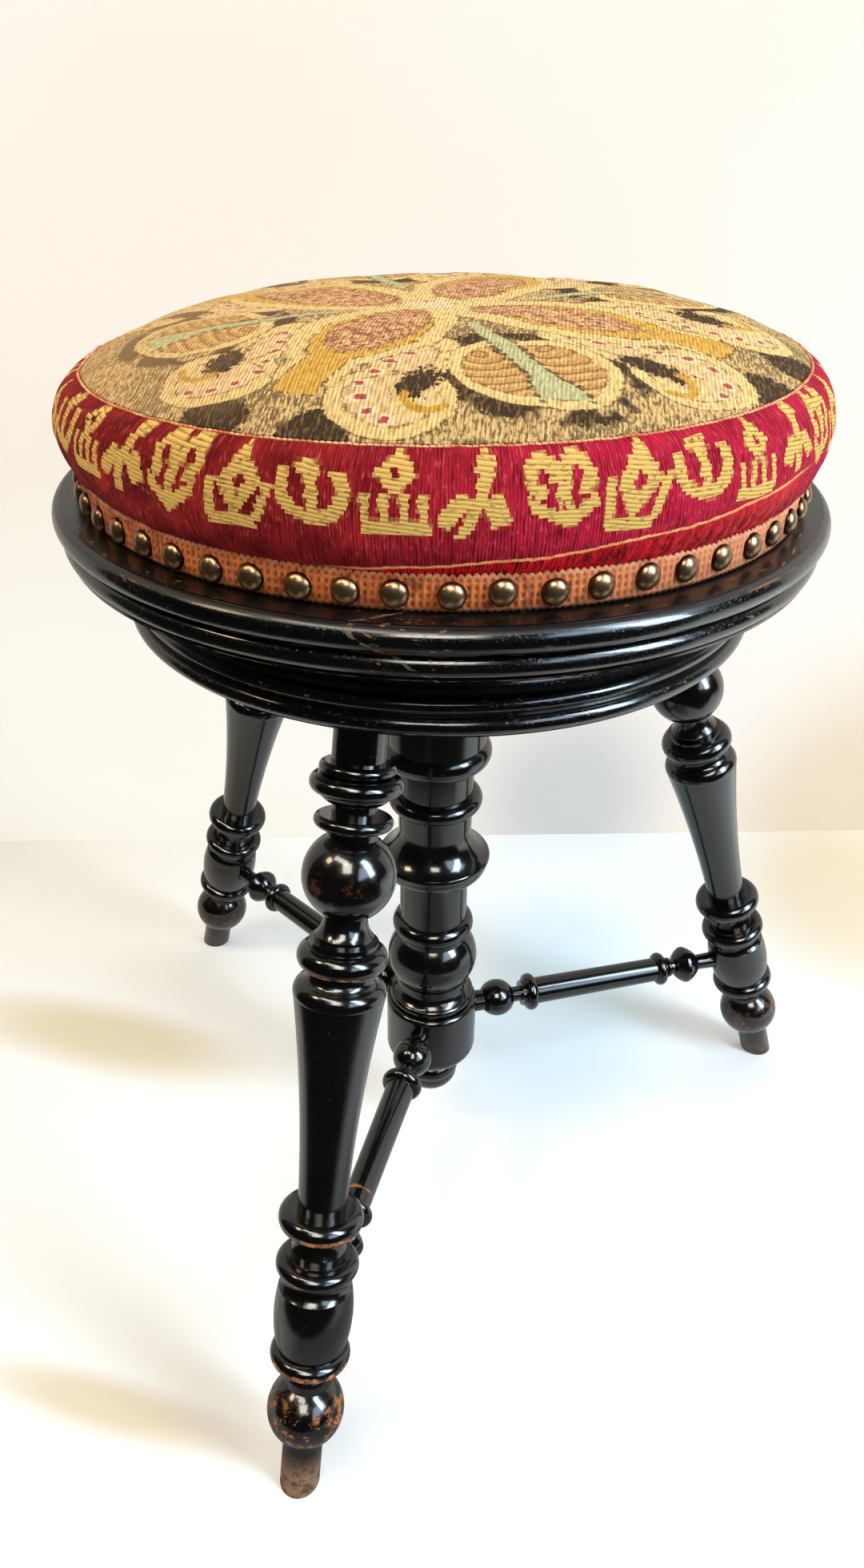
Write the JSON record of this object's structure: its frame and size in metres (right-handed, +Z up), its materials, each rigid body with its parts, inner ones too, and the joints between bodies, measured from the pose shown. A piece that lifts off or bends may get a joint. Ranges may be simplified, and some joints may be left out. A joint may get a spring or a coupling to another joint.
{
  "type": "adjustable screw stool",
  "caption": "Round upholstered screw stool: turned splayed legs and a turned column carry a moulded top, in which the padded seat turns up and down on an iron screw.",
  "frame": {"origin": "on the floor, on the axis of the seat's screw", "axes": "+Z up along the screw; the front leg stands towards -Y, the other two at 30 and 150 degrees from +X"},
  "size_m": [0.443, 0.4306, 0.5075],
  "materials": {
    "ebonised_wood": "glossy black lacquer, worn through to brown wood on the proud edges",
    "pine": "bare sawn pine",
    "iron": "dark greased iron",
    "steel": "dulled steel",
    "washer_leather": "waxed brown leather",
    "horsehair": "curled horsehair",
    "linen": "unbleached linen",
    "tapestry": "woven wool tapestry in mustard, terracotta, cream and sage",
    "border_fabric": "ribbed crimson wool with a woven gold band",
    "gimp": "orange braid",
    "nail_brass": "antique bronzed domes"
  },
  "bodies": {
    "stand": {"leg_front": "ebonised_wood", "leg_right": "ebonised_wood", "leg_left": "ebonised_wood", "stretcher_front": "ebonised_wood", "stretcher_right": "ebonised_wood", "stretcher_left": "ebonised_wood", "column": "ebonised_wood", "drop_finial": "ebonised_wood", "fixed_top": "ebonised_wood", "screw_nut": "iron", "nut_screws": "steel"},
    "riser": {"jam_washer": "washer_leather"},
    "seat": {"screw_spindle": "iron", "spindle_flange": "iron", "flange_screws": "steel", "seat_board": "ebonised_wood", "pad_base": "pine", "base_screws": "steel", "stuffing": "horsehair", "lining": "linen", "cover_top": "tapestry", "cover_border": "border_fabric", "gimp_band": "gimp", "dome_nails": "nail_brass"}
  },
  "joints": [
    {"name": "seat_rise", "type": "slide", "parent": "stand", "child": "riser", "axis": [0, 0, 1], "range_m": [0, 0.12]},
    {"name": "seat_turn", "type": "hinge", "parent": "riser", "child": "seat", "pos_m": [0, 0, 0.4035], "axis": [0, 0, 1], "range_deg": [0, 5400]}
  ],
  "couplings": [
    {"joint": "seat_rise", "follows": "seat_turn", "m_per_rad": 0.0012732}
  ]
}
